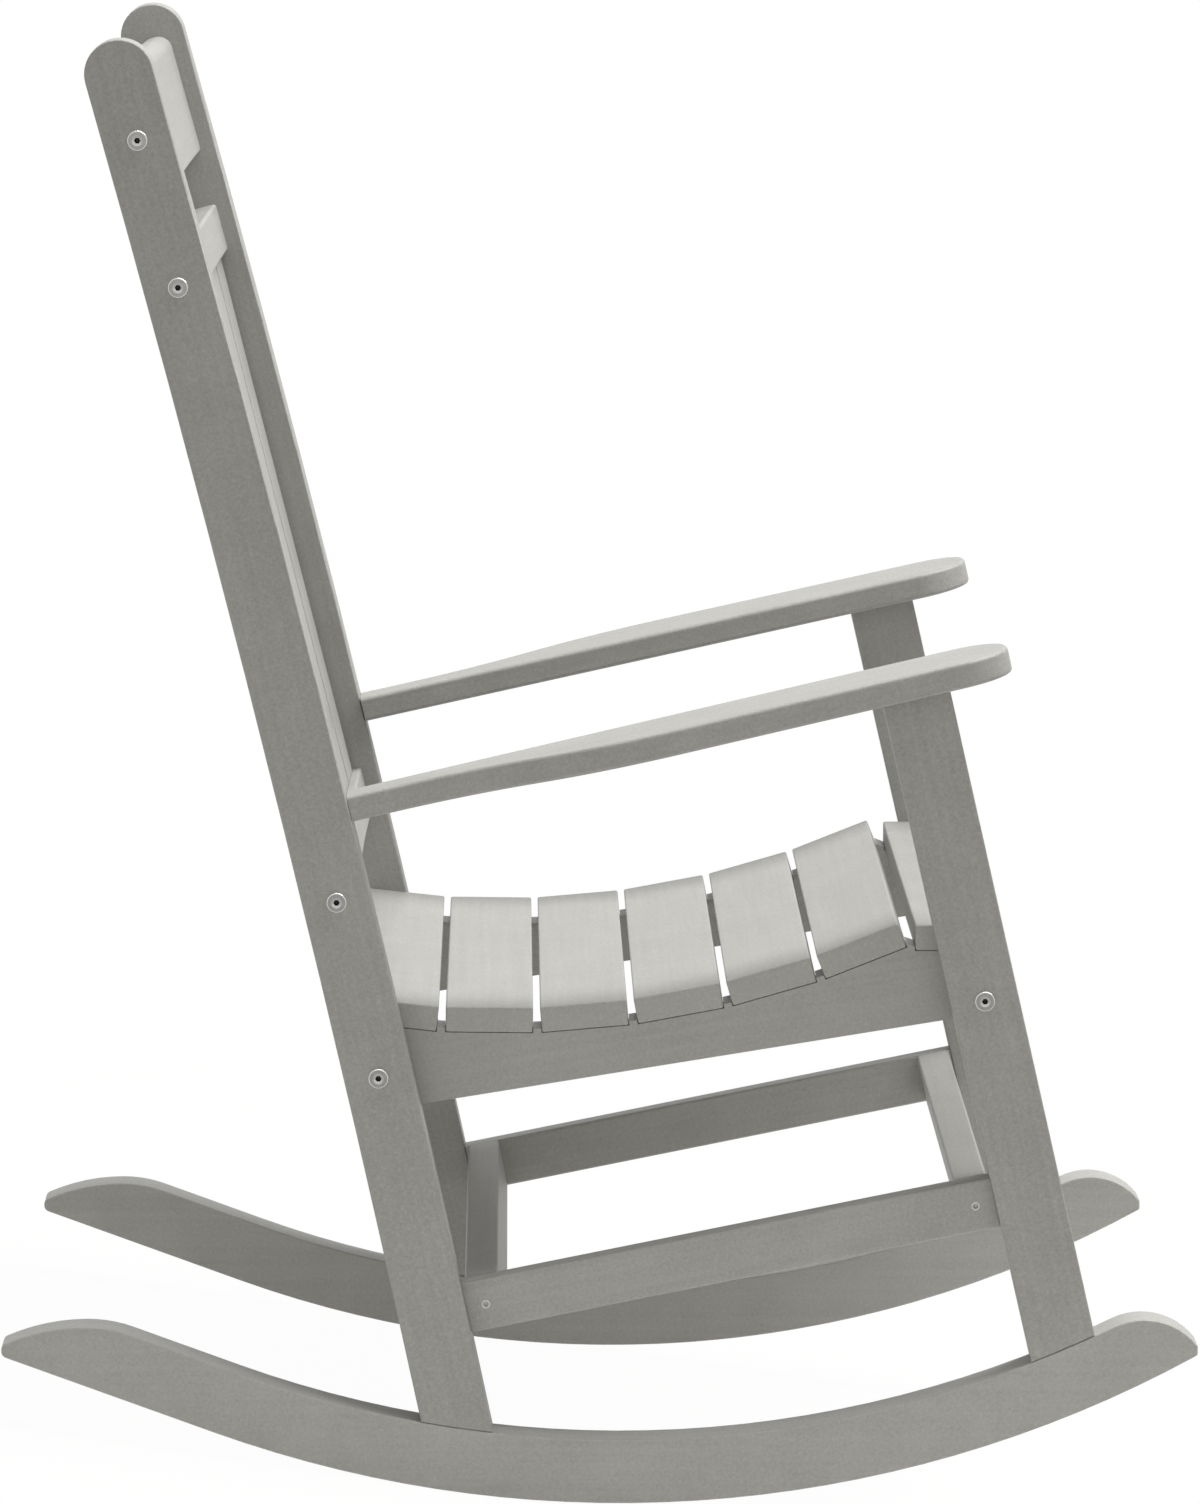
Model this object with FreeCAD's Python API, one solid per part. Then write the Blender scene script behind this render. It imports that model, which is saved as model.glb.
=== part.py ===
# Slatted porch rocking chair of plastic lumber, in millimetres.
# +Z is up, the sitter faces -Y, and X runs across the chair.
# The boards are drawn upright about a point midway along the rockers. Each finished shape is then rolled
# back to where the empty chair balances, with the origin on the floor where the rockers touch it.
import FreeCAD, Part
import math
import os

os.makedirs("parts", exist_ok=True)
V = FreeCAD.Vector
ACROSS = V(1, 0, 0)
same_place = 0.001
search_steps = 50

# Frame boards: rockers, back posts and front legs share one thickness
outer_width = 580.0
frame_thickness = 32.0
frame_edge = 1.2
joint_gap = 0.2

# Rockers
rocker_length = 882.0
rocker_radius = 868.0
rocker_contact_y = -17.0
rocker_depth = 48.0
rest_lean = 8.4
tail_angle = 20.3
front_hump_length = 62.0
front_hump_radius = 50.0
rear_hump_length = 96.0
rear_hump_radius = 97.0
front_nose_height = 6.9
front_nose_radius = 2.6
rear_nose_height = 8.0
rear_nose_radius = 5.0

# Back posts, each a gentle arc that leans further back towards its round top
post_width = 50.0
post_mid_y = 218.5
post_mid_z = 559.0
post_lean = 13.6
post_bow_radius = 16170.0
post_top = 511.3

# Front legs
leg_foot_y = -333.1
leg_foot_z = 152.6
leg_lean = 12.87
leg_width = 50.0

# Back rails and slats, placed by their distance up the post from its middle
rail_thickness = 25.0
back_hollow = 3.5
rail_edge = 2.5
head_rail_height = 96.0
head_rail_at = 462.0
head_rail_round = 11.0
back_rail_height = 38.0
upper_rail_at = 352.0
lower_rail_at = -112.0
back_slat_count = 7
back_slat_width = 63.5
back_slat_thickness = 12.0
back_slat_edge = 2.0
tenon_depth = 12.0
tenon_clearance = 0.3

# Seat: flat slats on a hollow curve, and one level slat over the front
seat_hollow_y = 72.2
seat_low_z = 365.7
seat_radius = 711.0
seat_slat_width = 64.3
seat_slat_gap = 5.0
seat_slat_thickness = 19.0
seat_slat_edge = 1.5
curved_slat_count = 6
first_slat_angle = -6.3
front_slat_drop = 1.2
front_slat_gap = 6.2
front_slat_width = 60.0
seat_rail_thickness = 32.0
seat_rail_under_z = 315.5
seat_rail_slope = 9.13
seat_rail_inset = 3.0
seat_notch_depth = 3.0
seat_notch_clearance = 0.3
seat_bolt_at = -246.0
leg_bolt_up = 229.1

# Arms, flat boards that widen towards a round front
arm_top_z = 569.7
arm_pitch = 12.8
arm_toe_in = 2.4
arm_overhang_in = 14.0
arm_thickness = 19.0
arm_front_width = 83.0
arm_rear_width = 37.0
arm_flare_start = 160.0
arm_flare_end = -50.0
arm_nose = 303.0
arm_nose_radius = 38.0
arm_edge = 3.0

# Stretchers
side_stretcher_thickness = 19.0
stretcher_height = 38.0
stretcher_mid_z = 164.6
stretcher_slope = 11.4
cross_stretcher_thickness = 25.0
stretcher_edge = 2.0
cross_stretcher_gap = 1.5

# Flat-head connector bolts and threaded inserts
bolt_diameter = 6.0
bolt_reach = 16.0
bolt_clearance = 0.25
bolt_head_diameter = 15.0
bolt_head_height = 2.4
bolt_head_round = 1.2
bolt_socket = 4.0
bolt_socket_depth = 3.0
bolt_mouth_diameter = 8.0
bolt_mouth_depth = 0.5
insert_diameter = 10.0
insert_length = 20.0
thread_clearance = 0.05

# Wood screws; plugs cover the ones in the arms, and those that show in the stretchers have small heads
screw_diameter = 4.5
screw_head_diameter = 8.4
screw_head_height = 3.0
screw_recess = 2.0
screw_recess_depth = 1.6
counterbore_diameter = 10.0
fit_clearance = 0.1
rocker_screw_spread = 13.0
rocker_screw_depth = 14.0
rocker_screw_length = 72.0
arm_screw_spread = 13.0
arm_screw_length = 56.0
plug_length = 5.0
arm_end_screw_length = 84.0
stretcher_end_screw_length = 84.0
stretcher_end_screw_lift = 10.0
end_screw_depth = 10.0
stretcher_screw_length = 46.0
stretcher_screw_head = 6.4
slat_screw_web = 25.0
slat_screw_bite = 15.0
slat_screw_shift = 14.0
slat_counterbore = 70.0

outer_face = outer_width / 2
inner_face = outer_face - frame_thickness
frame_mid = outer_face - frame_thickness / 2
half_clear = inner_face - joint_gap


def turned(y, z, angle, along, out):
    """A point reached from (y, z) by steps along a line that leans back by angle, and square to it."""
    lean = math.radians(angle)
    return (y + along * math.sin(lean) + out * math.cos(lean),
            z + along * math.cos(lean) - out * math.sin(lean))


def at(x, point):
    return V(x, point[0], point[1])


def line(a, b):
    return Part.LineSegment(at(0, a), at(0, b)).toShape()


def arc(a, middle, b):
    return Part.Arc(at(0, a), at(0, middle), at(0, b)).toShape()


def board(edges, x0, x1):
    """A flat board between two X planes, from its outline in the YZ plane."""
    face = Part.Face(Part.Wire(edges))
    face.translate(V(x0, 0, 0))
    return face.extrude(V(x1 - x0, 0, 0))


def polygon(points, x0, x1):
    closed = points + points[:1]
    return board([line(a, b) for a, b in zip(closed, closed[1:])], x0, x1)


def rod(start, direction, diameter, length):
    return Part.makeCylinder(diameter / 2, length, start, direction)


def eased(shape, radius, wanted):
    return shape.makeFillet(radius, [edge for edge in shape.Edges if wanted(edge)])


def on_face(edge, x):
    return all(abs(v.X - x) < same_place for v in edge.Vertexes) and abs(edge.CenterOfMass.x - x) < same_place


def on_end(edge, y):
    return abs(edge.CenterOfMass.y - y) < same_place


def frame_side_edge(edge):
    return on_face(edge, inner_face) or on_face(edge, outer_face)


def runs_across(edge):
    ends = [v.Point for v in edge.Vertexes]
    return len(ends) == 2 and (ends[1] - ends[0]).cross(ACROSS).Length < same_place


def mirrored(shape):
    return shape.mirror(V(0, 0, 0), ACROSS)


def both_sides(shapes):
    return shapes + [mirrored(shape) for shape in shapes]


def post_angle(distance):
    return post_lean + math.degrees(distance / post_bow_radius)


def post_point(distance, out=0.0):
    """A point on the post: a distance up its curve from the middle, and out towards the rear."""
    centre = turned(post_mid_y, post_mid_z, post_lean, 0, post_bow_radius)
    return turned(centre[0], centre[1], post_angle(distance), 0, out - post_bow_radius)


def post_band(low, high, front, rear, x0, x1):
    """The stretch of the post's curve between two heights and two offsets."""
    middle = (low + high) / 2
    edges = [arc(post_point(low, front), post_point(middle, front), post_point(high, front)),
             line(post_point(high, front), post_point(high, rear)),
             arc(post_point(high, rear), post_point(middle, rear), post_point(low, rear)),
             line(post_point(low, rear), post_point(low, front))]
    return board(edges, x0, x1)


def leg_point(up, out=0.0):
    return turned(leg_foot_y, leg_foot_z, leg_lean, up, out)


def leg_blank(front, rear, x0, x1):
    """A long board on the leg's line between two offsets, from below the rocker to above the arm."""
    low = -arm_top_z
    high = arm_top_z
    return polygon([leg_point(low, front), leg_point(high, front),
                    leg_point(high, rear), leg_point(low, rear)], x0, x1)


def rocker_point(angle, above=0.0):
    """A point on the rocker's curve, at an angle from its lowest point towards the rear."""
    turn = math.radians(angle)
    reach = rocker_radius - above
    return rocker_contact_y + reach * math.sin(turn), rocker_radius - reach * math.cos(turn)


def tail_point(y, above=0.0):
    """A point on the straight tail of the rocker."""
    start = rocker_point(tail_angle, above)
    return y, start[1] + (y - start[0]) * math.tan(math.radians(tail_angle))


def above_rockers():
    """The round space that the rocker's top edge goes about, where posts and legs stand."""
    reach = rocker_radius - rocker_depth - joint_gap
    return Part.makeCylinder(reach, 2 * outer_width, V(-outer_width, rocker_contact_y, rocker_radius), ACROSS)


def arm_place(shape):
    """Set a shape from the arm's own flat frame into the chair."""
    shape.rotate(V(0, 0, 0), V(0, 0, 1), -arm_toe_in)
    shape.translate(V(inner_face - arm_overhang_in, 0, 0))
    shape.rotate(V(0, 0, 0), ACROSS, -arm_pitch)
    shape.translate(V(0, 0, arm_top_z))
    return shape


def under_arms():
    """The half space below the arms' underside."""
    reach = 4 * rocker_length
    block = Part.makeBox(2 * reach, 2 * reach, reach, V(-reach, -reach, -reach - arm_thickness - joint_gap))
    block.rotate(V(0, 0, 0), ACROSS, -arm_pitch)
    block.translate(V(0, 0, arm_top_z))
    return block


def seat_point(angle, below=0.0):
    """A point on the seat's hollow, at an angle from its lowest point towards the front."""
    turn = math.radians(angle)
    reach = seat_radius + below
    return seat_hollow_y - reach * math.sin(turn), seat_low_z + seat_radius - reach * math.cos(turn)


def seat_slat_angles():
    step = math.degrees((seat_slat_width + seat_slat_gap) / seat_radius)
    return [first_slat_angle + step * i for i in range(curved_slat_count)]


def slat_corner(angle, along, below):
    """A point of a flat slat: along its width towards the front, and below its top."""
    base = seat_point(angle, seat_slat_thickness)
    lift = seat_slat_thickness - below + slat_seat_rise()
    turn = math.radians(angle)
    return (base[0] - along * math.cos(turn) + lift * math.sin(turn),
            base[1] + along * math.sin(turn) + lift * math.cos(turn))


def slat_seat_rise():
    """How far the middle of a flat slat stands off the hollow that carries its two edges."""
    reach = seat_radius + seat_slat_thickness
    return reach - math.sqrt(reach ** 2 - (seat_slat_width / 2) ** 2) + joint_gap


def front_slat_rear():
    """The rear edge and the top height of the level front slat."""
    last = seat_slat_angles()[-1]
    low = slat_corner(last, seat_slat_width / 2, seat_slat_thickness)
    high = slat_corner(last, seat_slat_width / 2, 0)
    return low[0] - front_slat_gap, high[1] - front_slat_drop


def stretcher_point(y, up=0.0):
    slope = math.radians(stretcher_slope)
    return y + up * math.sin(slope), stretcher_mid_z - y * math.tan(slope) + up * math.cos(slope)


def lean_place(shape, distance):
    """Set a shape from a frame with +Z up the post and +Y to the rear onto the post's curve."""
    shape.rotate(V(0, 0, 0), ACROSS, -post_angle(distance))
    shape.translate(at(0, post_point(distance)))
    return shape


# Screw and bolt axes

def screw(start, direction, length, width=screw_head_diameter):
    """A pan-head wood screw whose head seats at start and whose shank runs along direction."""
    head = rod(start - direction * screw_head_height, direction, width, screw_head_height)
    recess = rod(start - direction * screw_head_height, direction, 2 * screw_recess, screw_recess_depth)
    return head.fuse(rod(start, direction, screw_diameter, length)).cut(recess).removeSplitter()


def screw_hole(start, direction, length, counterbore, width=counterbore_diameter):
    """The clear way for a screw, with a counterbore of the given length behind its seat."""
    shank = rod(start, direction, screw_diameter + 2 * fit_clearance, length + fit_clearance)
    return shank.fuse(rod(start - direction * counterbore, direction, width, counterbore))


def bolt_points():
    """Where the bolts on one side cross the frame's outer face, as (y, z)."""
    on_post = [post_point(d) for d in (head_rail_at, upper_rail_at, lower_rail_at, seat_bolt_at)]
    return on_post + [leg_point(leg_bolt_up)]


def bolt(point):
    """A bolt with a wide flat head, rounded at the rim, and a hexagon socket with a bevelled mouth."""
    seat = at(outer_face, point)
    rim = outer_face + bolt_head_height
    head = rod(seat, ACROSS, bolt_head_diameter, bolt_head_height)
    head = eased(head, bolt_head_round, lambda edge: on_face(edge, rim))
    shank = rod(seat, -ACROSS, bolt_diameter, frame_thickness + bolt_reach)
    radius = bolt_socket / math.sqrt(3)
    corners = [(point[0] + radius * math.cos(math.radians(60 * i)),
                point[1] + radius * math.sin(math.radians(60 * i))) for i in range(6)]
    socket = polygon(corners, rim - bolt_socket_depth, rim + bolt_socket_depth)
    mouth = Part.makeCone(bolt_mouth_diameter / 2, bolt_socket / 2, bolt_mouth_depth, at(rim, point), -ACROSS)
    return head.fuse(shank).cut(socket).cut(mouth).removeSplitter()


def threaded_insert(point):
    start = at(half_clear, point)
    body = rod(start, -ACROSS, insert_diameter, insert_length)
    return body.cut(rod(start, -ACROSS, bolt_diameter + 2 * thread_clearance, insert_length))


def bolt_hole(point):
    return rod(at(outer_face, point), -ACROSS, bolt_diameter + 2 * bolt_clearance, frame_thickness)


def insert_hole(point):
    return rod(at(inner_face, point), -ACROSS, insert_diameter + 2 * fit_clearance,
               joint_gap + insert_length + fit_clearance)


def rocker_screw_axes():
    """Seat, direction and length of the screws that come up through one rocker."""
    axes = []
    for centre, lean in ((post_foot(), post_foot_lean()), (leg_foot(), leg_lean)):
        direction = at(0, turned(0, 0, lean, 1, 0))
        for step in (-rocker_screw_spread, rocker_screw_spread):
            through = turned(centre[0], centre[1], lean, 0, step)
            under = back_to_circle(through, lean, rocker_radius)
            seat = at(frame_mid, turned(under[0], under[1], lean, rocker_screw_depth, 0))
            axes.append((seat, direction))
    return axes


def back_to_circle(point, lean, radius):
    """Go down a leaning line from a point to the circle about the rocker's centre."""
    turn = math.radians(lean)
    dy = point[0] - rocker_contact_y
    dz = point[1] - rocker_radius
    half = dy * math.sin(turn) + dz * math.cos(turn)
    steps = -half - math.sqrt(half ** 2 - (dy ** 2 + dz ** 2 - radius ** 2))
    return turned(point[0], point[1], lean, steps, 0)


def post_foot_distance():
    """How far down the post's curve its foot stands on the rocker."""
    reach = rocker_radius - rocker_depth
    low = -post_mid_z
    high = 0.0
    for _ in range(search_steps):
        middle = (low + high) / 2
        y, z = post_point(middle)
        inside = math.hypot(y - rocker_contact_y, z - rocker_radius) < reach
        low, high = (low, middle) if inside else (middle, high)
    return high


def post_foot():
    return post_point(post_foot_distance())


def post_foot_lean():
    return post_angle(post_foot_distance())


def leg_foot():
    return back_to_circle(leg_point(leg_width), leg_lean, rocker_radius - rocker_depth)


def arm_rear_distance():
    """How far along the post's curve the middle of the arm's rear end meets it."""
    low = -post_mid_z
    high = post_top
    for _ in range(search_steps):
        middle = (low + high) / 2
        y, z = post_point(middle, -post_width / 2)
        slope = math.radians(arm_pitch)
        level = arm_top_z - y * math.tan(slope) - arm_thickness / 2 / math.cos(slope)
        low, high = (middle, high) if z < level else (low, middle)
    return high


def arm_end_screw_axis():
    """Seat and direction of the screw through the post into the arm's end."""
    distance = arm_rear_distance()
    seat = post_point(distance, post_width / 2 - end_screw_depth)
    forward = at(0, turned(0, 0, post_angle(distance), 0, -1))
    return at(inner_face + (arm_rear_width - arm_overhang_in) / 2, seat), forward


def arm_screw_axes():
    """Seat and direction of the two screws down through the arm into the leg, in the chair."""
    slope = math.radians(arm_pitch)
    y, z = leg_point(leg_top_distance())
    down = V(0, -math.sin(slope), -math.cos(slope))
    along = V(0, math.cos(slope), -math.sin(slope))
    top = V(frame_mid, y, z) - down * arm_thickness
    seat_depth = plug_length + screw_head_height + fit_clearance
    return [(top + along * step + down * seat_depth, down) for step in (-arm_screw_spread, arm_screw_spread)]


def leg_top_distance():
    """How far up the leg's middle line the arm's underside is."""
    slope = math.radians(arm_pitch)
    y0, z0 = leg_point(0)
    y1, z1 = leg_point(1)
    gap0 = arm_top_z - y0 * math.tan(slope) - arm_thickness / math.cos(slope) - z0
    gap1 = arm_top_z - y1 * math.tan(slope) - arm_thickness / math.cos(slope) - z1
    return gap0 / (gap0 - gap1)


def stretcher_end_screw_axes():
    """Seat and direction of the screws into the two ends of one side stretcher."""
    x = inner_face + side_stretcher_thickness / 2
    slope = math.radians(stretcher_slope)
    forward = V(0, -math.cos(slope), math.sin(slope))
    rear_y = post_point(stretcher_post_distance(), post_width / 2 - end_screw_depth)[0]
    front_y = leg_point(stretcher_leg_distance(), end_screw_depth - leg_width / 2)[0]
    lift = stretcher_end_screw_lift
    return [(at(x, stretcher_point(rear_y, lift)), forward), (at(x, stretcher_point(front_y, lift)), -forward)]


def stretcher_post_distance():
    low = -post_mid_z
    high = post_top
    for _ in range(search_steps):
        middle = (low + high) / 2
        y, z = post_point(middle)
        low, high = (middle, high) if z < stretcher_point(y)[1] else (low, middle)
    return high


def stretcher_leg_distance():
    y0, z0 = leg_point(0)
    y1, z1 = leg_point(1)
    gap0 = stretcher_point(y0)[1] - z0
    gap1 = stretcher_point(y1)[1] - z1
    return gap0 / (gap0 - gap1)


def cross_stretcher_ys():
    """Where the middles of the rear and front cross stretchers are along the side stretchers."""
    half = cross_stretcher_thickness / 2 + cross_stretcher_gap
    slope = math.radians(stretcher_slope)
    rear = post_point(stretcher_post_distance(), -post_width / 2)[0] - half * math.cos(slope)
    front = leg_point(stretcher_leg_distance(), leg_width / 2)[0] + half * math.cos(slope)
    reach = stretcher_height / 2 * abs(math.sin(math.radians(post_lean - stretcher_slope)))
    return rear - reach, front + reach


def stretcher_screw_axes():
    x = inner_face + side_stretcher_thickness - screw_head_height
    return [(at(x, stretcher_point(y)), -ACROSS) for y in cross_stretcher_ys()]


def stretcher_screw_hole(axis):
    seat, direction = axis
    return screw_hole(seat, direction, stretcher_screw_length, screw_head_height,
                      stretcher_screw_head + 2 * fit_clearance)


def slat_screw_axes():
    """Seat and direction of the screws up through one seat rail into the slats."""
    x = half_clear - seat_rail_thickness / 2
    axes = []
    for number, angle in enumerate(seat_slat_angles()):
        shift = slat_screw_shift if number == 0 else 0.0
        turn = math.radians(angle)
        y, z = slat_corner(angle, shift, seat_slat_thickness)
        up = V(0, math.sin(turn), math.cos(turn))
        axes.append((at(x, (y, z)) - up * slat_screw_web, up))
    rear, top = front_slat_rear()
    seat_z = top - seat_slat_thickness - slat_screw_web
    y = rear - front_slat_width / 2 + slat_screw_shift
    axes.append((V(x, y, seat_z), V(0, 0, 1)))
    return axes


def slat_screw_hole(axis):
    start, up = axis
    return screw_hole(start, up, slat_screw_web + slat_screw_bite, slat_counterbore)


# The boards

def make_rocker():
    front = -rocker_length / 2
    rear = rocker_length / 2
    front_angle = math.degrees(math.asin((front - rocker_contact_y) / rocker_radius))
    tip = rocker_point(front_angle)
    toe = rocker_point(tail_angle)
    middle = rocker_point((front_angle + tail_angle) / 2)
    edges = [arc(tip, middle, toe), line(toe, tail_point(rear))]

    top_reach = rocker_radius - rocker_depth
    start = front + front_hump_length
    start_angle = math.degrees(math.asin((start - rocker_contact_y) / top_reach))
    rear_start = tail_point(rear - rear_hump_length, rocker_depth)
    heel = (rear, tail_point(rear)[1] + rear_nose_height)
    rise, peak, fall = hump(rear_start, tail_angle, rear_hump_radius, heel)
    edges += [line(tail_point(rear), heel), arc(heel, fall, peak), arc(peak, rise, rear_start)]

    top_end = rocker_point(tail_angle, rocker_depth)
    top_start = rocker_point(start_angle, rocker_depth)
    top_middle = rocker_point((start_angle + tail_angle) / 2, rocker_depth)
    edges += [line(rear_start, top_end), arc(top_end, top_middle, top_start)]
    nose = (front, tip[1] + front_nose_height)
    rise, peak, fall = hump(top_start, start_angle, front_hump_radius, nose)
    edges += [arc(top_start, rise, peak), arc(peak, fall, nose), line(nose, tip)]

    shape = board(edges, inner_face, outer_face)
    shape = eased(shape, front_nose_radius, lambda edge: runs_across(edge) and on_end(edge, front))
    shape = eased(shape, rear_nose_radius, lambda edge: runs_across(edge) and on_end(edge, rear))
    shape = eased(shape, frame_edge, frame_side_edge)
    for seat, direction in rocker_screw_axes():
        shape = shape.cut(screw_hole(seat, direction, rocker_screw_length, rocker_depth))
    return shape


def hump(start, angle, radius, end):
    """Points along a hump on the rocker's top edge that falls to an end: the middle of its rise, its peak
    and the middle of its fall."""
    turn = math.radians(angle)
    peak = (start[0] + radius * math.sin(turn), start[1] + radius * (1 - math.cos(turn)))
    rise = (peak[0] - radius * math.sin(turn / 2), peak[1] - radius * (1 - math.cos(turn / 2)))
    run = end[0] - peak[0]
    drop = peak[1] - end[1]
    fall_radius = (run ** 2 + drop ** 2) / (2 * drop)
    half = math.asin(run / fall_radius) / 2
    fall = (peak[0] + fall_radius * math.sin(half), peak[1] - fall_radius * (1 - math.cos(half)))
    return rise, peak, fall


def make_back_post():
    half = post_width / 2
    foot = -post_mid_z
    middle = (foot + post_top) / 2
    crown = post_point(post_top + half)
    edges = [arc(post_point(foot, -half), post_point(middle, -half), post_point(post_top, -half)),
             arc(post_point(post_top, -half), crown, post_point(post_top, half)),
             arc(post_point(post_top, half), post_point(middle, half), post_point(foot, half)),
             line(post_point(foot, half), post_point(foot, -half))]
    shape = board(edges, inner_face, outer_face).common(above_rockers())
    shape = eased(shape, frame_edge, frame_side_edge)
    for point in bolt_points()[:4]:
        shape = shape.cut(bolt_hole(point))
    for seat, direction in rocker_screw_axes()[:2]:
        shape = shape.cut(screw_hole(seat, direction, rocker_screw_length, screw_head_height))
    seat, direction = arm_end_screw_axis()
    shape = shape.cut(screw_hole(seat, direction, arm_end_screw_length, post_width))
    seat, direction = stretcher_end_screw_axes()[0]
    return shape.cut(screw_hole(seat, direction, stretcher_end_screw_length, post_width))


def make_front_leg():
    shape = leg_blank(-leg_width / 2, leg_width / 2, inner_face, outer_face)
    shape = shape.common(above_rockers()).common(under_arms())
    shape = eased(shape, frame_edge, frame_side_edge)
    shape = shape.cut(bolt_hole(bolt_points()[4]))
    for seat, direction in rocker_screw_axes()[2:]:
        shape = shape.cut(screw_hole(seat, direction, rocker_screw_length, screw_head_height))
    for seat, direction in arm_screw_axes():
        shape = shape.cut(screw_hole(seat, direction, arm_screw_length, screw_head_height))
    seat, direction = stretcher_end_screw_axes()[1]
    return shape.cut(screw_hole(seat, direction, stretcher_end_screw_length, leg_width))


def make_arm():
    rear = rocker_length / 2
    front = -arm_nose
    run = arm_flare_start - arm_flare_end
    step = arm_front_width - arm_rear_width
    bend = (run ** 2 + step ** 2) / (4 * step)
    turn = math.asin(run / 2 / bend)
    half_turn = turn / 2
    corner = arm_nose_radius * (1 - math.sqrt(0.5))

    def flat(x, y):
        return V(x, y, -arm_thickness)

    flare_in = flat(arm_rear_width + bend * (1 - math.cos(half_turn)),
                    arm_flare_start - bend * math.sin(half_turn))
    flare_mid = flat(arm_rear_width + step / 2, arm_flare_end + run / 2)
    flare_out = flat(arm_front_width - bend * (1 - math.cos(half_turn)),
                     arm_flare_end + bend * math.sin(half_turn))
    points = [flat(0, rear), flat(arm_rear_width, rear), flat(arm_rear_width, arm_flare_start), flare_mid,
              flat(arm_front_width, arm_flare_end), flat(arm_front_width, front + arm_nose_radius),
              flat(arm_front_width - arm_nose_radius, front), flat(arm_nose_radius, front),
              flat(0, front + arm_nose_radius)]
    bends = {2: flare_in, 3: flare_out, 5: flat(arm_front_width - corner, front + corner),
             7: flat(corner, front + corner)}
    edges = []
    for number, start in enumerate(points):
        end = points[(number + 1) % len(points)]
        if number in bends:
            edges.append(Part.Arc(start, bends[number], end).toShape())
        else:
            edges.append(Part.LineSegment(start, end).toShape())
    shape = Part.Face(Part.Wire(edges)).extrude(V(0, 0, arm_thickness))
    shape = eased(shape, arm_edge, lambda e: len({round(v.Z, 3) for v in e.Vertexes}) == 1)
    shape = arm_place(shape)
    keep_out = post_band(-post_mid_z, post_top, -post_width / 2 - joint_gap, rocker_length,
                         -outer_width, outer_width)
    shape = shape.cut(keep_out)
    for seat, direction in arm_screw_axes():
        shape = shape.cut(screw_hole(seat, direction, arm_screw_length, 2 * arm_thickness))
    seat, direction = arm_end_screw_axis()
    return shape.cut(screw_hole(seat, direction, arm_end_screw_length, screw_head_height))


def make_plug(axis):
    """A round plug over a screw in the arm, flush with the arm's top."""
    seat, down = axis
    seat_depth = plug_length + screw_head_height + fit_clearance
    return rod(seat - down * seat_depth, down, counterbore_diameter - 2 * fit_clearance, plug_length)


def seat_rail_under(y):
    return y, seat_rail_under_z - y * math.tan(math.radians(seat_rail_slope))


def seat_rail_top():
    """The rail's notched top edge, from behind the rear slat to the notch for the front one."""
    angles = seat_slat_angles()
    half = seat_slat_width / 2
    wall = half + seat_notch_clearance
    seat = seat_slat_thickness + joint_gap
    ridge = seat_slat_thickness - seat_notch_depth
    behind = slat_corner(angles[0], -half - post_width, ridge)
    points = []
    for angle in angles:
        points += [slat_corner(angle, along, below) for along, below in
                   ((-wall, ridge), (-wall, seat), (wall, seat), (wall, ridge))]
    # The rearmost wall leans with the post, as the rail's rear end does
    points[0] = turned(*points[1], post_lean, seat_notch_depth + joint_gap, 0)
    rear, top = front_slat_rear()
    rear += seat_notch_clearance
    return [behind] + points + [(rear, top - ridge), (rear, top - seat)]


def make_seat_rail():
    rear_y, rear_z = bolt_points()[3]
    front_y, front_z = bolt_points()[4]
    rear_end = rear_y + post_width
    front_end = front_y - leg_width
    top_edge = seat_rail_top()
    corners = top_edge + [(front_end, top_edge[-1][1]), seat_rail_under(front_end), seat_rail_under(rear_end)]
    shape = polygon(corners, half_clear - seat_rail_thickness, half_clear)
    rear_edge = post_width / 2 - seat_rail_inset
    front_edge = seat_rail_inset - leg_width / 2
    shape = shape.cut(post_band(-post_mid_z, post_top, rear_edge, rocker_length, 0, outer_width))
    shape = shape.cut(leg_blank(-rocker_length, front_edge, 0, outer_width))
    shape = shape.cut(insert_hole((rear_y, rear_z))).cut(insert_hole((front_y, front_z)))
    for axis in slat_screw_axes():
        shape = shape.cut(slat_screw_hole(axis))
    return shape


def make_curved_slat(number):
    angle = seat_slat_angles()[number]
    half = seat_slat_width / 2
    corners = [slat_corner(angle, along, below) for along, below in
               ((-half, 0), (half, 0), (half, seat_slat_thickness), (-half, seat_slat_thickness))]
    return finish_seat_slat(polygon(corners, -half_clear, half_clear), number)


def make_front_slat():
    rear, top = front_slat_rear()
    front = rear - front_slat_width
    low = top - seat_slat_thickness
    corners = [(rear, top), (front, top), (front, low), (rear, low)]
    return finish_seat_slat(polygon(corners, -half_clear, half_clear), curved_slat_count)


def finish_seat_slat(shape, number):
    shape = shape.makeFillet(seat_slat_edge, shape.Edges)
    hole = slat_screw_hole(slat_screw_axes()[number])
    return shape.cut(hole).cut(mirrored(hole))


def make_side_stretcher():
    half = stretcher_height / 2
    rear = rocker_length / 2
    corners = [stretcher_point(rear, half), stretcher_point(-rear, half),
               stretcher_point(-rear, -half), stretcher_point(rear, -half)]
    shape = polygon(corners, inner_face, inner_face + side_stretcher_thickness)
    shape = eased(shape, stretcher_edge, lambda e: not runs_across(e))
    rear_end = -post_width / 2 - joint_gap
    front_end = leg_width / 2 + joint_gap
    shape = shape.cut(post_band(-post_mid_z, post_top, rear_end, rocker_length, 0, outer_width))
    shape = shape.cut(leg_blank(-rocker_length, front_end, 0, outer_width))
    for seat, direction in stretcher_end_screw_axes():
        shape = shape.cut(screw_hole(seat, direction, stretcher_end_screw_length, screw_head_height))
    for axis in stretcher_screw_axes():
        shape = shape.cut(stretcher_screw_hole(axis))
    return shape


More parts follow.
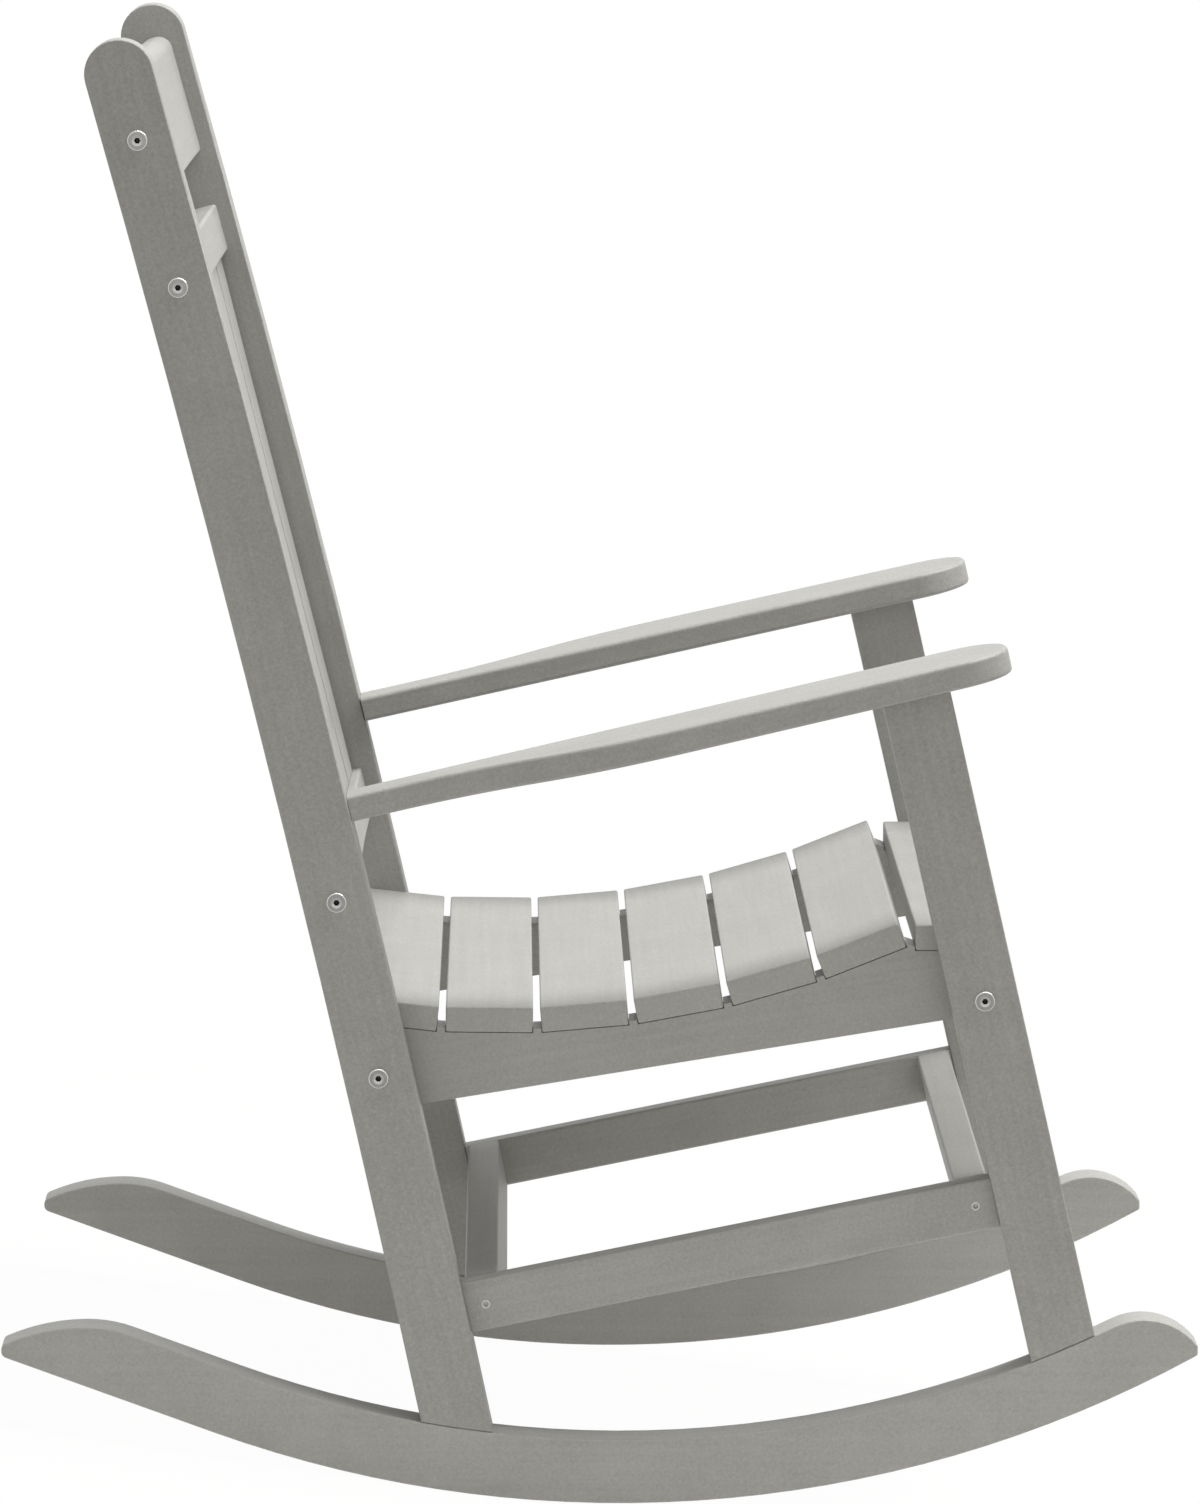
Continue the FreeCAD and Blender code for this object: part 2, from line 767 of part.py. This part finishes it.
def make_cross_stretcher(number):
    y = cross_stretcher_ys()[number]
    half = stretcher_height / 2
    wide = cross_stretcher_thickness / 2
    corners = [turned(*stretcher_point(y), stretcher_slope, up, out)
               for up, out in ((half, -wide), (half, wide), (-half, wide), (-half, -wide))]
    shape = polygon(corners, -half_clear, half_clear)
    shape = eased(shape, stretcher_edge, runs_across)
    hole = stretcher_screw_hole(stretcher_screw_axes()[number])
    return shape.cut(hole).cut(mirrored(hole))


# The back

def hollow_radius():
    return (half_clear ** 2 + back_hollow ** 2) / (2 * back_hollow)


def hollow_offset(x):
    """How far to the rear the hollow back lies at a place across the chair."""
    return math.sqrt(hollow_radius() ** 2 - x ** 2) - (hollow_radius() - back_hollow)


def bowed_rail(height):
    """A rail, hollow towards the sitter, in its own frame with +Z up the post."""
    half = rail_thickness / 2

    def plan(x, y):
        return V(x, y, -height / 2)

    front = Part.Arc(plan(-half_clear, -half), plan(0, back_hollow - half), plan(half_clear, -half)).toShape()
    rear = Part.Arc(plan(half_clear, half), plan(0, back_hollow + half), plan(-half_clear, half)).toShape()
    left = Part.LineSegment(plan(half_clear, -half), plan(half_clear, half)).toShape()
    right = Part.LineSegment(plan(-half_clear, half), plan(-half_clear, -half)).toShape()
    return Part.Face(Part.Wire([front, left, rear, right])).extrude(V(0, 0, height))


def long_edge_at(z):
    return lambda e: all(abs(v.Z - z) < same_place for v in e.Vertexes) and e.Length > rail_thickness * 2


def back_slat_line():
    """The straight line that the back slats follow between the two back rails."""
    top = post_point(upper_rail_at - back_rail_height / 2 + tenon_depth)
    bottom = post_point(lower_rail_at + back_rail_height / 2 - tenon_depth)
    return top, bottom


def back_slat_blank(number, spare):
    """One back slat, or the slot for it with some spare room all round."""
    pitch = 2 * inner_face / back_slat_count
    x = (number - (back_slat_count - 1) / 2) * pitch
    top, bottom = back_slat_line()
    length = math.dist(top, bottom)
    lean = math.degrees(math.atan2(top[0] - bottom[0], top[1] - bottom[1]))
    wide = back_slat_width + 2 * spare
    thick = back_slat_thickness + 2 * spare
    shape = Part.makeBox(wide, thick, length + 2 * spare, V(-wide / 2, -thick / 2, -spare))
    shape.rotate(V(0, 0, 0), V(0, 0, 1), -math.degrees(math.asin(x / hollow_radius())))
    shape.translate(V(x, hollow_offset(x), 0))
    shape.rotate(V(0, 0, 0), ACROSS, -lean)
    shape.translate(at(0, bottom))
    return shape


def make_back_slat(number):
    shape = back_slat_blank(number, 0)
    return eased(shape, back_slat_edge, lambda e: e.Length > back_slat_width * 2)


def bore_rail_ends(shape, point):
    hole = insert_hole(point)
    return shape.cut(hole).cut(mirrored(hole))


def make_back_rail(distance):
    shape = bowed_rail(back_rail_height)
    half = back_rail_height / 2
    shape = eased(shape, rail_edge, lambda e: long_edge_at(half)(e) or long_edge_at(-half)(e))
    shape = lean_place(shape, distance)
    for number in range(back_slat_count):
        shape = shape.cut(back_slat_blank(number, tenon_clearance))
    return bore_rail_ends(shape, post_point(distance))


def make_head_rail():
    shape = bowed_rail(head_rail_height)
    half = head_rail_height / 2
    shape = eased(shape, head_rail_round, long_edge_at(half))
    shape = eased(shape, rail_edge, long_edge_at(-half))
    return bore_rail_ends(lean_place(shape, head_rail_at), post_point(head_rail_at))


def at_rest(shape):
    """The shape rolled back with the chair to where it balances, about the centre of the rockers' curve."""
    rolled = shape.copy()
    rolled.rotate(V(0, rocker_contact_y, rocker_radius), ACROSS, -rest_lean)
    rolled.translate(V(0, -rocker_contact_y, 0))
    return rolled


def keep(shape, node):
    rolled = at_rest(shape)
    rolled.exportStep(f"parts/{node}.step")
    print(node, len(rolled.Solids), round(rolled.Volume), rolled.isValid())


def keep_pair(shape, node):
    keep(shape, f"{node}_left")
    keep(mirrored(shape), f"{node}_right")


def keep_group(shapes, node):
    keep(Part.makeCompound(both_sides(shapes)), node)


keep_pair(make_rocker(), "rocker")
keep_pair(make_back_post(), "back_post")
keep_pair(make_front_leg(), "front_leg")
keep_pair(make_arm(), "arm")
keep_pair(make_seat_rail(), "seat_rail")
keep_pair(make_side_stretcher(), "side_stretcher")
keep(make_cross_stretcher(0), "rear_cross_stretcher")
keep(make_cross_stretcher(1), "front_cross_stretcher")
keep(make_head_rail(), "head_rail")
keep(make_back_rail(upper_rail_at), "upper_back_rail")
keep(make_back_rail(lower_rail_at), "lower_back_rail")
for slat in range(back_slat_count):
    keep(make_back_slat(slat), f"back_slat_{slat + 1}")
for slat in range(curved_slat_count):
    keep(make_curved_slat(slat), f"seat_slat_{slat + 1}")
keep(make_front_slat(), f"seat_slat_{curved_slat_count + 1}")

keep_group([bolt(point) for point in bolt_points()], "frame_bolts")
keep_group([threaded_insert(point) for point in bolt_points()], "threaded_inserts")
keep_group([screw(*axis, rocker_screw_length) for axis in rocker_screw_axes()], "rocker_screws")
keep_group([screw(*axis, arm_screw_length) for axis in arm_screw_axes()], "arm_screws")
keep_group([make_plug(axis) for axis in arm_screw_axes()], "arm_plugs")
keep_group([screw(*arm_end_screw_axis(), arm_end_screw_length)], "arm_end_screws")
keep_group([screw(*axis, stretcher_end_screw_length) for axis in stretcher_end_screw_axes()],
           "stretcher_end_screws")
keep_group([screw(*axis, stretcher_screw_length, stretcher_screw_head) for axis in stretcher_screw_axes()],
           "cross_stretcher_screws")
keep_group([screw(*axis, slat_screw_web + slat_screw_bite) for axis in slat_screw_axes()], "seat_slat_screws")
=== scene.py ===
import math

import bpy
from mathutils import Matrix, Vector

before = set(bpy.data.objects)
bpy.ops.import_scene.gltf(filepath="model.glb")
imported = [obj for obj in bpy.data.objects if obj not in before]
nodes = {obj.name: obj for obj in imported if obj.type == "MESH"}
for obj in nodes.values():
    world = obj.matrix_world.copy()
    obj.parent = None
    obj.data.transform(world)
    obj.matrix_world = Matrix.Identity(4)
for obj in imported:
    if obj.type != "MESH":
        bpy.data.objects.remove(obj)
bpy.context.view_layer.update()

# The chair rests rolled back on its rockers. The photograph shows it upright, so the camera rolls with it.
REST_LEAN = math.radians(8.4)
ROCKER_RADIUS = 0.868
UPRIGHT_CONTACT = -0.017

# The photograph's camera, for the upright chair: place in metres, angles in degrees, lens in millimetres
CAMERA_PLACE = (-6.026, 0.0646, 1.3701)
CAMERA_PITCH = 8.03
CAMERA_YAW = 0.645
CAMERA_LENS = 190.2
CAMERA_SENSOR = 36.0

# Studio lamps and world: places and sizes in metres, power in watts
WORLD_LIGHT = 0.22
KEY_PLACE = (0.0, -0.90, 4.56)
KEY_TARGET = (0.0, 0.0, 0.5)
KEY_SIZE = (2.2, 4.6)
KEY_POWER = 300.0
FILL_PLACE = (-7.5, 0.0, 3.4)
FILL_TARGET = (0.0, 0.0, 0.6)
FILL_SIZE = (9.0, 6.4)
FILL_POWER = 92.0

# Studio floor, in metres: it glows about the chair, and fades from the first reach to the second
FLOOR_RADIUS = 14.0
FLOOR_SIDES = 96
FLOOR_GLOW = 0.36
GLOW_REACH = (0.9, 2.2)
FLOOR_WHITENESS = 0.95

# Colours are linear
LUMBER_DARK = (0.285, 0.280, 0.262, 1.0)
LUMBER_LIGHT = (0.395, 0.390, 0.366, 1.0)
STEEL_DARK = (0.21, 0.207, 0.198, 1.0)
STEEL_LIGHT = (0.30, 0.296, 0.283, 1.0)
# Painted reflection: the pale colour of the bolts' rounded rims
STEEL_PAINTED_RIM_REFLECTION = (0.70, 0.695, 0.67, 1.0)
# Painted shade: the near-black colour of the bolts' sockets
STEEL_PAINTED_SHADE = (0.003, 0.003, 0.003, 1.0)
# Painted highlight: the screw coat, paler than the lumber it is painted to match
COAT_WITH_PAINTED_HIGHLIGHT_DARK = (0.58, 0.573, 0.546, 1.0)
COAT_WITH_PAINTED_HIGHLIGHT_LIGHT = (0.78, 0.771, 0.74, 1.0)
# Painted shade: the colour the screws' recesses darken to
SCREW_RECESS_PAINTED_SHADE = (0.40, 0.395, 0.376, 1.0)
PAPER = (0.56, 0.547, 0.523, 1.0)
PANEL = (1.0, 0.97, 0.92, 1.0)
WHITE = (1.0, 1.0, 1.0, 1.0)

# How far each family of boards leans back from upright along its length, in degrees at rest
POST_GRAIN = 22.0
LEG_GRAIN = 21.0
ROCKER_GRAIN = 98.4
RAIL_GRAIN = 107.5
STRETCHER_GRAIN = 109.8
ARM_GRAIN = 111.2

# Painted light and shade on copies of one lumber: how much lighter than plain lumber each family of boards
# is painted, lighter on the rockers, stretchers and seat rails where more light comes up from the floor,
# darker on the posts and legs; and the cut ends of the cross boards, partly their own paler tone and
# partly painted light with a painted highlight on their rounded edges
POST_PAINTED_SHADE = -0.10
LEG_PAINTED_SHADE = -0.08
ROCKER_PAINTED_LIGHT = 0.38
RAIL_PAINTED_LIGHT = 0.22
STRETCHER_PAINTED_LIGHT = 0.12
CUT_END_TONE_AND_PAINTED_LIGHT = 0.45

# Lumber patterns, in features per metre. Streaks are fine across a board and long along it.
STREAK_ACROSS = 210.0
STREAK_ALONG = 5.0
CLOUDS = 26.0
PALE_CELLS = 360.0
PEBBLES = 420.0
SPECKLES = 430.0
FINE_SPECKLES = 950.0
LUMBER_TONE = 0.46
LUMBER_ROUGHNESS = 0.50

# Fixings: patterns in features per metre, recesses in metres for the painted shade, and how far sideways a
# rounded rim faces for its painted reflection
BOLT_ROUGHNESS = 0.26
INSERT_ROUGHNESS = 0.38
SCREW_ROUGHNESS = 0.36
BOLT_SCUFFS = 2600.0
BOLT_SMEARS = 240.0
SCREW_SCUFFS = 1800.0
BOLT_SOCKET = 0.004
SCREW_RECESS = 0.003
RIM_FACING = (0.88, 0.995)


class Value:
    """A value in a node tree. Arithmetic on it adds Math nodes."""

    def __init__(self, tree, socket):
        self.tree = tree
        self.socket = socket

    def maths(self, operation, first, second):
        return self.tree.node("ShaderNodeMath", {"operation": operation}, {0: first, 1: second})

    def __add__(self, other):
        return self.maths("ADD", self, other)

    def __radd__(self, other):
        return self.maths("ADD", other, self)

    def __sub__(self, other):
        return self.maths("SUBTRACT", self, other)

    def __rsub__(self, other):
        return self.maths("SUBTRACT", other, self)

    def __mul__(self, other):
        return self.maths("MULTIPLY", self, other)

    def __rmul__(self, other):
        return self.maths("MULTIPLY", other, self)


class Tree:
    """A node tree of a material or the world, started empty."""

    def __init__(self, owner):
        owner.use_nodes = True
        self.nodes = owner.node_tree.nodes
        self.links = owner.node_tree.links
        self.nodes.clear()

    def node(self, kind, settings, sockets, output=0):
        """Add a node, give it its settings, then its socket values or links, and return one output."""
        made = self.nodes.new(kind)
        for name, setting in settings.items():
            setattr(made, name, setting)
        for name, value in sockets.items():
            if isinstance(value, Value):
                self.links.new(value.socket, made.inputs[name])
            else:
                made.inputs[name].default_value = value
        return Value(self, made.outputs[output]) if made.outputs else None

    def place(self):
        return self.node("ShaderNodeTexCoord", {}, {}, "Object")

    def noise(self, place, scale, detail):
        return self.node("ShaderNodeTexNoise", {}, {"Vector": place, "Scale": scale, "Detail": detail})

    def span(self, value, low, high):
        """The value drawn out so that low becomes 0 and high becomes 1, and held there."""
        return self.node("ShaderNodeMapRange", {"clamp": True},
                         {"Value": value, "From Min": low, "From Max": high})

    def blend(self, factor, first, second):
        """Two colours mixed. A Mix node's colours are its inputs 6 and 7 and its output 2."""
        return self.node("ShaderNodeMix", {"data_type": "RGBA", "clamp_factor": False},
                         {"Factor": factor, 6: first, 7: second}, 2)

    def bump(self, height, strength, depth):
        return self.node("ShaderNodeBump", {}, {"Height": height, "Strength": strength, "Distance": depth})

    def sideways(self):
        """How squarely the surface faces across the chair, from 0 to 1."""
        normal = self.node("ShaderNodeNewGeometry", {}, {}, "Normal")
        across = self.node("ShaderNodeSeparateXYZ", {}, {"Vector": normal}, "X")
        return self.node("ShaderNodeMath", {"operation": "ABSOLUTE"}, {0: across})

    def openness(self, reach):
        """One on open faces, less in sockets and recesses narrower than the reach."""
        return self.node("ShaderNodeAmbientOcclusion", {"only_local": True}, {"Distance": reach}, "AO")

    def seen(self):
        """One for what the camera sees, straight or in metal and glass, and zero for light on surfaces."""
        camera = self.node("ShaderNodeLightPath", {}, {}, "Is Camera Ray")
        glossy = self.node("ShaderNodeLightPath", {}, {}, "Is Glossy Ray")
        through = self.node("ShaderNodeLightPath", {}, {}, "Is Transmission Ray")
        return camera + glossy + through


def new_finish(name):
    material = bpy.data.materials.new(name)
    return material, Tree(material)


def surface(tree, sockets):
    shader = tree.node("ShaderNodeBsdfPrincipled", {}, sockets)
    tree.node("ShaderNodeOutputMaterial", {}, {"Surface": shader})


def lumber(name, lean, stretch, painted_light, end_tone_and_painted_light):
    """Grey plastic lumber: flow streaks along the board, a fine speckle and a pebbled skin.

    The fourth argument lightens the whole board, or darkens it, as painted light and shade for its family
    of boards. The fifth lightens the ends that face across the chair, partly their own paler cut tone and
    partly painted light, with a painted highlight along their rounded edges."""
    material, tree = new_finish(name)
    place = tree.place()
    along = tree.node("ShaderNodeMapping", {}, {"Vector": place, "Rotation": (math.radians(lean), 0, 0)})
    drawn = tree.node("ShaderNodeVectorMath", {"operation": "MULTIPLY"}, {0: along, 1: stretch})
    streak = tree.noise(drawn, 1.0, 3.0)
    cloud = tree.noise(place, CLOUDS, 2.0)
    speckle = tree.noise(place, SPECKLES, 2.0)
    fine = tree.noise(place, FINE_SPECKLES, 2.0)
    pebble = tree.noise(place, PEBBLES, 3.0)
    cells = tree.node("ShaderNodeTexVoronoi", {}, {"Vector": place, "Scale": PALE_CELLS}, "Color")
    pale = tree.span(cells, 0.80, 0.86)
    grain = 1.1 * (speckle - 0.5) + 0.9 * (fine - 0.5)
    # Painted light and shade: the family's offset stands in for how light falls on those boards
    tone = LUMBER_TONE + painted_light + grain + 0.6 * (cloud - 0.5) + 0.6 * (streak - 0.5) + 0.16 * pale
    # Cut ends and their rounded edges painted lighter: partly the ends' own paler tone, partly painted
    # light and a painted highlight
    if end_tone_and_painted_light:
        tone = tone + end_tone_and_painted_light * tree.span(tree.sideways(), 0.1, 0.5)
    colour = tree.blend(tone, LUMBER_DARK, LUMBER_LIGHT)
    roughness = LUMBER_ROUGHNESS + 0.16 * (pebble - 0.5) + 0.10 * (cloud - 0.5)
    skin = tree.bump(0.6 * pebble + 0.3 * fine + 0.4 * streak, 0.22, 0.0004)
    surface(tree, {"Base Color": colour, "Roughness": roughness, "Normal": skin, "IOR": 1.5})
    return material


def side_lumber(name, lean, painted_light=0.0):
    """Lumber of a board that runs up or along the chair."""
    return lumber(name, lean, (STREAK_ACROSS, STREAK_ACROSS, STREAK_ALONG), painted_light, 0.0)


def cross_lumber(name):
    """Lumber of a board that runs across the chair, with lighter cut ends: partly their own paler cut
    tone, partly painted light, with a painted highlight along their rounded edges.
    """
    return lumber(name, 0.0, (STREAK_ALONG, STREAK_ACROSS, STREAK_ACROSS), 0.0, CUT_END_TONE_AND_PAINTED_LIGHT)


def stainless(name, roughness):
    """Stainless steel, darker on the flat faces, with a painted reflection where it is rounded and painted
    shade in the sockets.
    """
    material, tree = new_finish(name)
    place = tree.place()
    scuff = tree.noise(place, BOLT_SCUFFS, 2.0)
    smear = tree.noise(place, BOLT_SMEARS, 3.0)
    flat_face_steel = tree.blend(0.5 + 0.9 * (smear - 0.5), STEEL_DARK, STEEL_LIGHT)
    # Painted reflection: the rounded rims are painted pale, the flat faces stay darker
    metal = tree.blend(tree.span(tree.sideways(), *RIM_FACING), STEEL_PAINTED_RIM_REFLECTION, flat_face_steel)
    # Painted shade: the sockets darken where the metal is enclosed
    out_of_painted_shade = tree.span(tree.openness(BOLT_SOCKET), 0.40, 0.80)
    colour = tree.blend(out_of_painted_shade, STEEL_PAINTED_SHADE, metal)
    worn = roughness + 0.20 * (scuff - 0.5) + 0.16 * (smear - 0.5)
    skin = tree.bump(scuff, 0.15, 0.0002)
    surface(tree, {"Base Color": colour, "Roughness": worn, "Normal": skin, "Metallic": 1.0})
    return material


def coated_steel(name):
    """A screw head painted to match the lumber and made paler than it as a painted highlight that reads as
    a pale ring, scuffed at random, with painted shade in its recess.
    """
    material, tree = new_finish(name)
    place = tree.place()
    scuff = tree.noise(place, SCREW_SCUFFS, 3.0)
    # Painted highlight: the coat is paler than the lumber, scuffed at random
    coat_and_painted_highlight = tree.blend(tree.span(scuff, 0.40, 0.62), COAT_WITH_PAINTED_HIGHLIGHT_DARK, COAT_WITH_PAINTED_HIGHLIGHT_LIGHT)
    # Painted shade: the recess darkens where the head is enclosed
    out_of_painted_shade = tree.span(tree.openness(SCREW_RECESS), 0.45, 0.75)
    colour = tree.blend(out_of_painted_shade, SCREW_RECESS_PAINTED_SHADE, coat_and_painted_highlight)
    worn = SCREW_ROUGHNESS + 0.16 * (scuff - 0.5)
    skin = tree.bump(scuff, 0.12, 0.0002)
    surface(tree, {"Base Color": colour, "Roughness": worn, "Normal": skin})
    return material


def dress(material, *names):
    for name in names:
        for slot in nodes[name].material_slots:
            slot.material = material


def both(name):
    return f"{name}_left", f"{name}_right"


def finish_boards():
    # The board families are lit and shaded copies of one lumber, differing only by painted light and shade
    dress(side_lumber("lumber_posts", POST_GRAIN, POST_PAINTED_SHADE), *both("back_post"))
    dress(side_lumber("lumber_legs", LEG_GRAIN, LEG_PAINTED_SHADE), *both("front_leg"))
    dress(side_lumber("lumber_rockers", ROCKER_GRAIN, ROCKER_PAINTED_LIGHT), *both("rocker"))
    dress(side_lumber("lumber_seat_rails", RAIL_GRAIN, RAIL_PAINTED_LIGHT), *both("seat_rail"))
    dress(side_lumber("lumber_stretchers", STRETCHER_GRAIN, STRETCHER_PAINTED_LIGHT), *both("side_stretcher"))
    dress(side_lumber("lumber_arms", ARM_GRAIN), "arm_plugs", *both("arm"))
    back_slats = [name for name in nodes if name.startswith("back_slat")]
    dress(side_lumber("lumber_back_slats", POST_GRAIN), *back_slats)
    seat_slats = [name for name in nodes if name.startswith("seat_slat") and "screw" not in name]
    back_rails = ["head_rail", "upper_back_rail", "lower_back_rail"]
    cross_stretchers = ["rear_cross_stretcher", "front_cross_stretcher"]
    dress(cross_lumber("lumber_cross_boards"), *seat_slats, *back_rails, *cross_stretchers)


def finish_fixings():
    dress(stainless("stainless_bolts", BOLT_ROUGHNESS), "frame_bolts")
    dress(stainless("stainless_inserts", INSERT_ROUGHNESS), "threaded_inserts")
    screws = [name for name in nodes if name.endswith("screws")]
    dress(coated_steel("coated_screws"), *screws)


def lay_floor():
    """A white studio floor, lit from below about the chair, with a trace of its shadow."""
    bpy.ops.object.select_all(action="DESELECT")
    bpy.ops.mesh.primitive_circle_add(vertices=FLOOR_SIDES, radius=FLOOR_RADIUS, fill_type="NGON")
    floor = bpy.context.object
    floor.name = "studio_floor"
    material, tree = new_finish("studio_paper")
    distance = tree.node("ShaderNodeVectorMath", {"operation": "LENGTH"}, {0: tree.place()}, "Value")
    far = tree.span(distance, *GLOW_REACH)
    paper = tree.node("ShaderNodeBsdfDiffuse", {}, {"Color": PAPER})
    panel = tree.node("ShaderNodeEmission", {}, {"Color": PANEL, "Strength": FLOOR_GLOW})
    bright = tree.node("ShaderNodeAddShader", {}, {0: paper, 1: panel})
    lit = tree.node("ShaderNodeMixShader", {}, {0: far, 1: bright, 2: paper})
    white = tree.node("ShaderNodeEmission", {}, {"Color": WHITE, "Strength": 1.0})
    share = tree.seen() * (FLOOR_WHITENESS + (1 - FLOOR_WHITENESS) * far)
    shown = tree.node("ShaderNodeMixShader", {}, {0: share, 1: lit, 2: white})
    tree.node("ShaderNodeOutputMaterial", {}, {"Surface": shown})
    floor.data.materials.append(material)


def light_world():
    """Even studio light for surfaces, and white wherever the camera sees past the floor."""
    world = bpy.data.worlds.new("studio")
    bpy.context.scene.world = world
    tree = Tree(world)
    soft = tree.node("ShaderNodeBackground", {}, {"Color": WHITE, "Strength": WORLD_LIGHT})
    white = tree.node("ShaderNodeBackground", {}, {"Color": WHITE, "Strength": 1.0})
    shown = tree.node("ShaderNodeMixShader", {}, {0: tree.seen(), 1: soft, 2: white})
    tree.node("ShaderNodeOutputWorld", {}, {"Surface": shown})


def hang_light(name, place, target, size, power):
    """A rectangular lamp at a place, turned towards a target."""
    lamp = bpy.data.lights.new(name, "AREA")
    lamp.shape = "RECTANGLE"
    lamp.size, lamp.size_y = size
    lamp.energy = power
    light = bpy.data.objects.new(name, lamp)
    light.location = place
    light.rotation_euler = (Vector(target) - Vector(place)).to_track_quat("-Z", "Y").to_euler()
    bpy.context.scene.collection.objects.link(light)


def set_camera():
    """The photograph's camera, rolled back with the chair about the centre of the rockers' curve."""
    pitch = math.radians(CAMERA_PITCH)
    yaw = math.radians(CAMERA_YAW)
    ahead = Vector((math.cos(pitch) * math.cos(yaw), -math.cos(pitch) * math.sin(yaw), -math.sin(pitch)))
    upright = Matrix.Translation(CAMERA_PLACE) @ ahead.to_track_quat("-Z", "Y").to_matrix().to_4x4()
    centre = Vector((0, UPRIGHT_CONTACT, ROCKER_RADIUS))
    lean = Matrix.Rotation(-REST_LEAN, 4, "X")
    roll = Matrix.Translation(centre) @ lean @ Matrix.Translation(-centre)
    to_origin = Matrix.Translation((0, -UPRIGHT_CONTACT, 0))
    lens = bpy.data.cameras.new("photo_camera")
    lens.sensor_fit = "VERTICAL"
    lens.sensor_height = CAMERA_SENSOR
    lens.lens = CAMERA_LENS
    camera = bpy.data.objects.new("photo_camera", lens)
    bpy.context.scene.collection.objects.link(camera)
    camera.matrix_world = to_origin @ roll @ upright
    bpy.context.scene.camera = camera


finish_boards()
finish_fixings()
lay_floor()
light_world()
hang_light("key", KEY_PLACE, KEY_TARGET, KEY_SIZE, KEY_POWER)
hang_light("fill", FILL_PLACE, FILL_TARGET, FILL_SIZE, FILL_POWER)
set_camera()
bpy.context.scene.view_settings.view_transform = "Standard"
